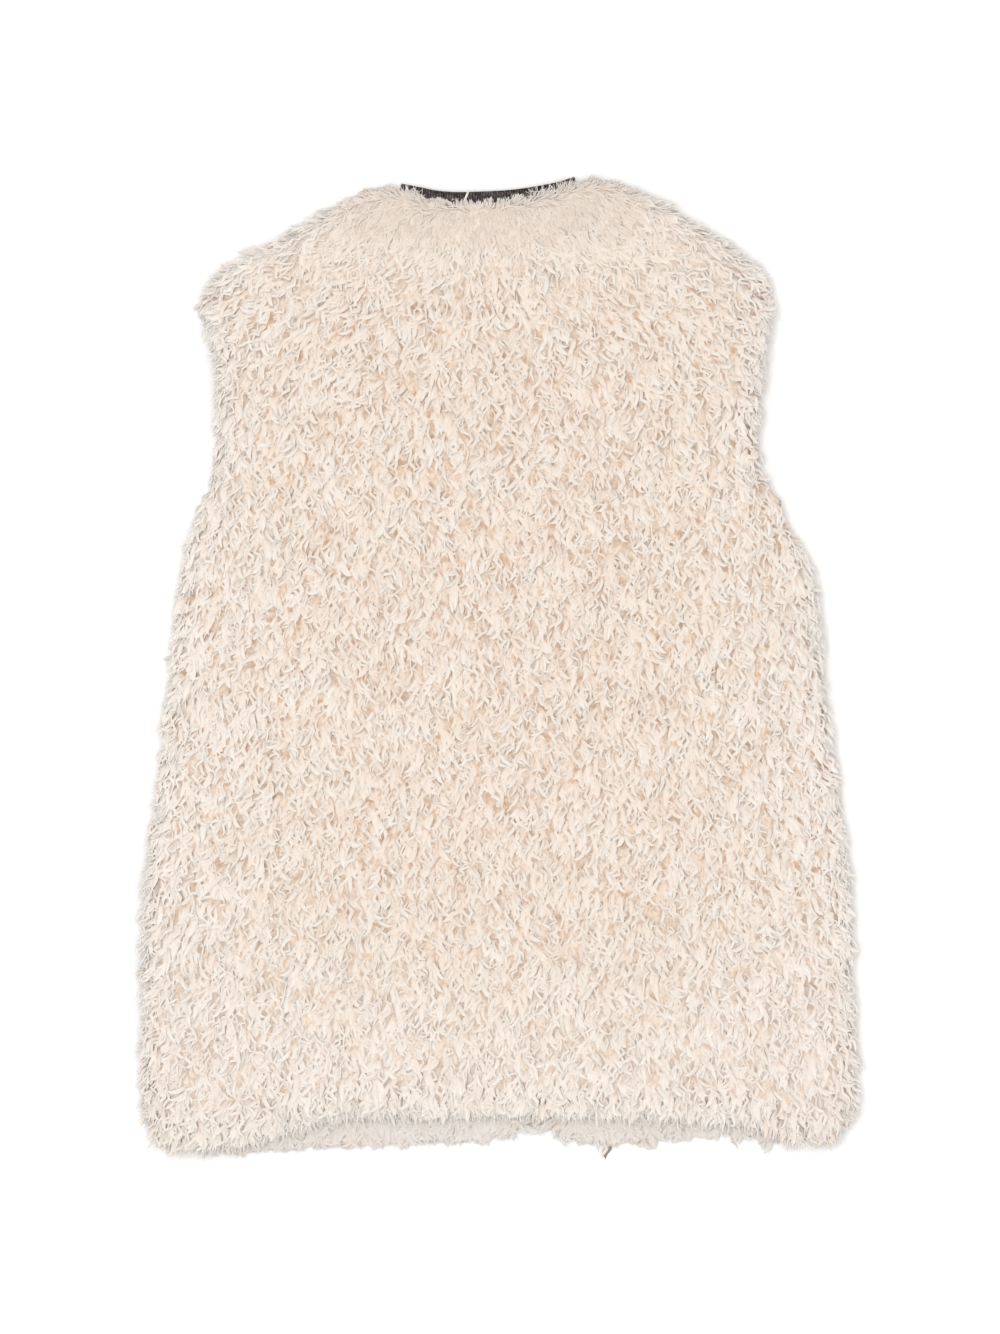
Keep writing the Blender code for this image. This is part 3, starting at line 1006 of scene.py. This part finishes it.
def allowed_reach(roots, calm, reach, locks, chance):
    """How far each tip may stand past the solid. Where locks is 0, no lock stands further out."""
    allowed = LOCK_POINTS * np.maximum(slow_waves(roots, LOCK_WAVE, seed=8), 0)
    allowed += SHOULDER_REACH * above(roots[:, 1], SHOULDER_TOP)
    allowed += HEM_REACH * below(roots[:, 1], HEM_TOP)
    level = (roots[:, 2] - roots[:, 2].min()) / np.ptp(roots[:, 2])
    allowed -= UNDERCUT * np.clip(1 - 2 * level, 0, 1)
    allowed = allowed * locks + chance.uniform(reach[0] * MM, reach[1] * MM, len(roots))
    return allowed * (1 - CALM_TRIM * calm) + NECK_REACH * calm


def trim(start, axes, kinds, scale, skin, allowed):
    """The curls' scales, less where their tips would stand out too far."""
    right, onward, up = axes
    for _ in range(TRIM_ROUNDS):
        local = curl_tips[kinds] * scale[:, None]
        tips = start + local[:, :1] * right + local[:, 1:2] * onward + local[:, 2:] * up
        over = np.maximum(reach_past(skin, tips) - allowed, 0)
        scale = scale * np.clip(1 - over / (curl_lengths[kinds] * scale), SHORTEST, 1)
    return scale


def tones(roots, out, lift, ridge, calm, pale, chance):
    """Each curl's tone: brown as painted shade where it lies deep, pale as painted light at the rim, darker
    as painted shade on the rim at the hem, and even where it is calm.
    """
    tone = OWN_TONE * chance.random(len(roots)) + TONE_WAVE * ridge
    tone += TONE_WAVE * slow_waves(roots, TONE_LENGTH, seed=6)
    # Painted shade: deeper curls are browner
    tone += DEPTH_SHADE_TONE * (lift + ROOT_SINK)
    tone = tone * (1 - CALM_EVENNESS * calm) + CALM_TONE * calm + LEAST_TONE + PALE_TONE * pale
    # Painted light on the rim, and painted shade on it at the hem
    return tone + (1 - np.abs(out[:, 2])) * (RIM_PAINTED_LIGHT * above(roots[:, 1], HEM_RIM) - HEM_SHADE)


def shading(out, calm, sky):
    """The way that each curl's shading leans, and how strongly."""
    lean = out * (SIDE_LEAN, SIDE_LEAN, 0) * (1 - calm)[:, None] + (0, 0, sky)
    lean[:, 1] -= CALM_LEAN * calm
    return unit(lean) * (1 + CALM_WEIGHT * calm)[:, None]


def grow(name, roots, out, skin, chance, size=1.0, width=1.0, reach=(0.0, 3.5), locks=1.0, top=1.0, sky=SKY):
    """One mesh of curls, a copy for each root. reach is in mm and bounds how far tips stand out."""
    count = len(roots)
    calm = calmness(roots)
    pale = pale_share(roots)
    fade = np.maximum(calm, FADED * pale)
    axes = curl_axes(roots, out, chance, calm)
    kinds = chance.choice(len(curls), count, p=curl_shares)
    smooth = chance.random(count) < calm
    kinds[smooth] = chance.choice(CALM_KINDS, smooth.sum())
    ridge = slow_waves(roots * RIDGE_STRETCH, RIDGE_WAVE, seed=7) * (1 - EVENED * pale)
    scale = size * chance.uniform(*SIZES, count) * (1 - CALM_SIZE * calm)
    widths = width * chance.uniform(*THICKNESSES, count) * (1 - CALM_THICKNESS * calm)
    lift = RIDGE * ridge - ROOT_SINK - DEEPEST * chance.random(count) * (1 - fade)
    start = roots + out * lift[:, None]
    allowed = allowed_reach(roots, calm, reach, locks, chance)
    scale = trim(start, axes, kinds, scale, skin, allowed)
    tone = tones(roots, out, lift, ridge, calm, pale, chance)
    return plant(name, kinds, start, axes, scale, widths, tone, shading(out, calm, sky), fade, top)


# %% [markdown]
# The back has the most fur, in five pieces from the hem to the yoke, so that no mesh is too heavy
# to work with. Its roots cover the top and the sides of its underfur.

# %% Fur of the back
BACK_CURLS = 30000
HALF_WAY = 0.5 * (back_low.z + back_high.z)
BACK_PARTS = ("skirt", "waist", "ribs", "chest", "yoke")
LOWEST_FACING = -0.35
# More curls at the sides, and more again at the ends of the sides and beside the neck
MORE_AT_SIDES = 1.2
MORE_AT_ENDS = 2
MORE_AT_NECK = 2
YOKE_END = (0.22, 0.06)
SKIRT_END = (-0.29, 0.03)


def upward_and_side(centres, facing):
    """Faces that look up or to the side, and more at the edges of the shoulders and the hem."""
    side = (1 - np.abs(facing[:, 2])) * (centres[:, 2] > HALF_WAY)
    calm = calmness(centres)
    ends = above(centres[:, 1], YOKE_END) + below(centres[:, 1], SKIRT_END)
    more = (1 + MORE_AT_NECK * calm) * (1 + (MORE_AT_SIDES + MORE_AT_ENDS * ends) * side)
    return (facing[:, 2] > LOWEST_FACING) * more


chance = np.random.default_rng(11)
back_skin = skin_of("back")
roots, out = scatter(back_pile, BACK_CURLS, chance, upward_and_side)
roughen(back_pile)
finish_piece(back_pile, underfur_finish, "fur", "back")
for part, mine in zip(BACK_PARTS, np.array_split(np.argsort(roots[:, 1]), len(BACK_PARTS))):
    piece = grow("back_curls_" + part, roots[mine], out[mine], back_skin, chance)
    finish_piece(piece, cream_fur, "fur", "back")

# %% [markdown]
# The fronts show only at the hem and the armholes, so their curls are thickest there. Beneath,
# where the garment's weight presses them, broader curls lie flat against the table.

# %% Fur of the fronts
FRONT_CURLS = 3200
PRESSED_CURLS = 1000
FRONT_REACH = {"left_front": (-5.5, -1.5), "right_front": (-11.0, -7.0)}
HEM_BAND = 36 * MM
MORE_AT_HEM = 3.0
FRONT_TOP = front_high.z + 0.2 * MM
PRESSED_TOP = 4.0 * MM


def shown_faces(piece):
    """Picks faces that slope or look to the side, and three times as many near the hem."""
    def wanted(centres, facing):
        at_hem = centres[:, 1] < edge_height(piece, centres[:, 0], min) + HEM_BAND
        sloping = (facing[:, 2] > -0.5) & (facing[:, 2] < 0.97)
        return np.where(at_hem & (facing[:, 2] > -0.5), MORE_AT_HEM, 1.0 * sloping)
    return wanted


def under_faces(centres, facing):
    """Faces that look down."""
    return facing[:, 2] < -0.9


front_fur_pieces = {}
for side, pile in front_piles.items():
    skin = skin_of(side)
    roots, out = scatter(pile, FRONT_CURLS, chance, shown_faces(pile))
    under_roots, under_out = scatter(pile, PRESSED_CURLS, chance, under_faces)
    roughen(pile)
    finish_piece(pile, underfur_finish, "front_fur", side)
    piece = grow(side + "_curls", roots, out, skin, chance, reach=FRONT_REACH[side], top=FRONT_TOP)
    pressed = grow(
        side + "_pressed_curls",
        under_roots,
        under_out,
        skin,
        chance,
        size=1.4,
        width=2.0,
        reach=(-13.0, -11.0),
        locks=0.0,
        top=PRESSED_TOP,
        sky=0.0,
    )
    front_fur_pieces[side] = [
        pile,
        finish_piece(piece, front_fur, "front_fur", side),
        finish_piece(pressed, front_fur, "front_fur", side),
    ]

# %% [markdown]
# Just below the back's hem the fur of both fronts closes the opening. Its locks start inside each
# front's edge and lie across to the other. A few more hang down from the fronts' inner corners.

# %% Locks at the opening
# Front, how far across and how high the locks start, their tilt, how many, and their scale
OPENING_LOCKS = (
    ("left_front", (0.002, 0.010), (-0.344, -0.322), 1.65, 140, 1.3),
    ("left_front", (-0.006, 0.010), (-0.348, -0.340), 2.95, 50, 0.85),
    ("right_front", (0.040, 0.048), (-0.344, -0.322), -1.65, 140, 1.3),
    ("right_front", (0.044, 0.080), (-0.350, -0.342), -2.9, 100, 0.9),
)
OPENING_LEVELS = (4 * MM, 10.5 * MM)
OPENING_STRAY = 0.2
OPENING_SIZES = (0.75, 1.15)
OPENING_WIDTHS = (0.7, 1.2)
ALONG_SLOPES = (-0.12, 0.1)
ALONG_TONES = (0.4, 0.9)


def plant_along(name, kinds, starts, tilt, scale, widths, material, slot, node):
    """Locks that lie nearly level, each turned from the way to the neck by its tilt."""
    count = len(starts)
    onward = unit(np.column_stack([np.sin(tilt), np.cos(tilt), chance.uniform(*ALONG_SLOPES, count)]))
    right = unit(np.cross(onward, (0.0, 0.0, 1.0)))
    up = np.cross(right, onward)
    tone = chance.uniform(*ALONG_TONES, count)
    lean = np.tile((0.0, 0.0, 1.0), (count, 1))
    piece = plant(name, kinds, starts, (right, onward, up), scale, widths, tone, lean, np.ones(count))
    return finish_piece(piece, material, slot, node)


for side, across, heights, tilt, count, size in OPENING_LOCKS:
    starts = np.column_stack([
        chance.uniform(*across, count),
        chance.uniform(*heights, count),
        chance.uniform(*OPENING_LEVELS, count),
    ])
    piece = plant_along(
        side + ("_opening_locks" if abs(tilt) < 2 else "_corner_locks"),
        chance.choice(len(curls), count, p=curl_shares),
        starts,
        chance.normal(tilt, OPENING_STRAY, count),
        size * chance.uniform(*OPENING_SIZES, count),
        chance.uniform(*OPENING_WIDTHS, count),
        front_fur,
        "front_fur",
        side,
    )
    front_fur_pieces[side].append(piece)

# %% [markdown]
# Fine wisps, painted pale as light shining through fine hair, stand out past the edges, which keeps the
# outline soft against the table.

# %% Edge wisps
EDGE_WISPS = 4600


def rim_faces(centres, facing):
    """Faces high on the sides."""
    return (centres[:, 2] > HALF_WAY) & (np.abs(facing[:, 2]) < 0.75)


roots, out = scatter(back_pile, EDGE_WISPS, chance, rim_faces)
piece = grow("back_edge_wisps", roots, out, back_skin, chance, width=0.2, reach=(1.0, 9.0))
finish_piece(piece, wisp_fur, "fur", "back")

# %% [markdown]
# A few hairs of the neck's edge have strayed up over the tape, most of them at its two ends, and
# one thick hair crosses it left of the middle.

# %% Hairs over the tape
# Where from and to across the vest, how many, and their length in shares of a stray hair
TAPE_HAIRS = ((-0.073, -0.058, 40, 0.60), (-0.056, 0.024, 60, 0.28), (0.024, 0.062, 70, 0.60))
HAIR_SIZES = (0.5, 1.3)
HAIR_WIDTH = 0.4
HAIR_WIDTHS = (0.7, 1.3)
HAIR_TILT = 0.85
# The thick hair's place across the vest, its length, width and tilt
THICK_PLACE = -0.0255
THICK_SIZE = 1.1
THICK_WIDTH = 1.8
THICK_TILT = 0.12
HAIR_LEVEL = back_low.z + 5 * MM
BEHIND_EDGE = 1.0 * MM

hair_places = [chance.uniform(low, high, count) for low, high, count, _ in TAPE_HAIRS]
hair_sizes = [np.full(count, size) for _, _, count, size in TAPE_HAIRS]
across = np.concatenate([*hair_places, [THICK_PLACE]])
scale = np.concatenate([*hair_sizes, [THICK_SIZE]]) * chance.uniform(*HAIR_SIZES, len(across))
widths = np.concatenate([np.full(len(across) - 1, HAIR_WIDTH), [THICK_WIDTH]])
widths *= chance.uniform(*HAIR_WIDTHS, len(across))
heights = edge_height(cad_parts["back"], across, max) - BEHIND_EDGE
starts = np.column_stack([across, heights, np.full(len(across), HAIR_LEVEL)])
tilt = chance.normal(0, HAIR_TILT, len(across))
tilt[-1] = THICK_TILT
kinds = chance.choice(STRAY_KINDS, len(across))
plant_along("tape_hairs", kinds, starts, tilt, scale, widths, wisp_fur, "fur", "back")

# %% [markdown]
# The neck tape is a woven rib, dark and mottled: the light spots are partly its own mottle and partly
# painted highlights. Its solid already has its rolled edge, so it is kept and given the ribs as a finish.

# %% Neck tape finish
RIBS = ((0.0, (0.30, 0.28, 0.28)), (1.0, (1.0, 1.0, 1.0)))
# Partly the tape's own mottle and partly painted highlights, from dark to light
MOTTLE_AND_HIGHLIGHTS = ((0.38, (0.026, 0.018, 0.018)), (0.62, (0.16, 0.135, 0.13)))


def make_tape_finish():
    """Dark brown ribbed tape, mottled, with painted highlights in the mottle."""
    material, tree, shader = new_material("dark ribbed tape", 0.6, 0.0)
    shader.inputs["Specular IOR Level"].default_value = 0.15
    ribs = rib_waves(tree, 160.0, 1.5)
    # Painted highlights: the light spots of this mottle stand for light caught by the tape's fuzz
    mottle_and_highlights = noise(tree, 300.0, 3.0, 0.75)
    lay_out(tree, ribs, mottle_and_highlights)
    rib_colour = colour_ramp(tree, RIBS)
    mottle_highlight_colour = colour_ramp(tree, MOTTLE_AND_HIGHLIGHTS)
    tree.links.new(ribs.outputs["Fac"], rib_colour.inputs["Fac"])
    tree.links.new(mottle_and_highlights.outputs["Fac"], mottle_highlight_colour.inputs["Fac"])
    colour = multiply_colours(tree, rib_colour.outputs["Color"], mottle_highlight_colour.outputs["Color"])
    tree.links.new(colour, shader.inputs["Base Color"])
    bump(tree, shader, ribs.outputs["Fac"], 0.6, 0.3 * MM)
    return material


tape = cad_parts["neck_tape"]
tape.data.materials.clear()
tape.data.materials.append(make_tape_finish())
print("the tape keeps its solid")

# %% [markdown]
# Each panel's cloth is a sheet that lies on what is under it: the fronts on their own pressed fur, and the
# back on the fronts. Here each cloth's points are only read.

def declare(cloth):
    """Reads a cloth's points and does nothing more with them."""
    places = points_of(cloth)


for side in SIDES:
    declare(cloths[side])
declare(cloths["back"])
